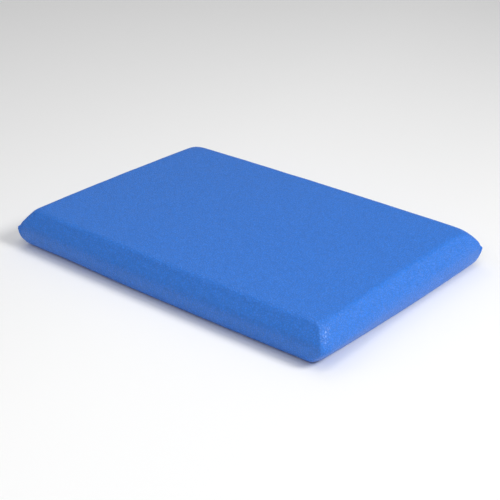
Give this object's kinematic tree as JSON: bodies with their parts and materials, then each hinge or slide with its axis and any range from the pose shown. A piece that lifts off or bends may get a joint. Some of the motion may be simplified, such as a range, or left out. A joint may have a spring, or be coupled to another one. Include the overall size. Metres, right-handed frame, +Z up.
{
  "type": "foam block",
  "caption": "Flat rectangular foam block in a grained blue skin, with a bevelled shoulder, rounded lower edges and pinched corners.",
  "frame": {"origin": "middle of the base, on the surface that the block lies on", "axes": "+X along the long sides, +Y along the short sides, +Z up, from the base to the top face"},
  "size_m": [0.3, 0.209, 0.031],
  "materials": {
    "skin": "satin, fine leather-like grain"
  },
  "bodies": {
    "root": {"foam_block": "skin"}
  },
  "joints": []
}
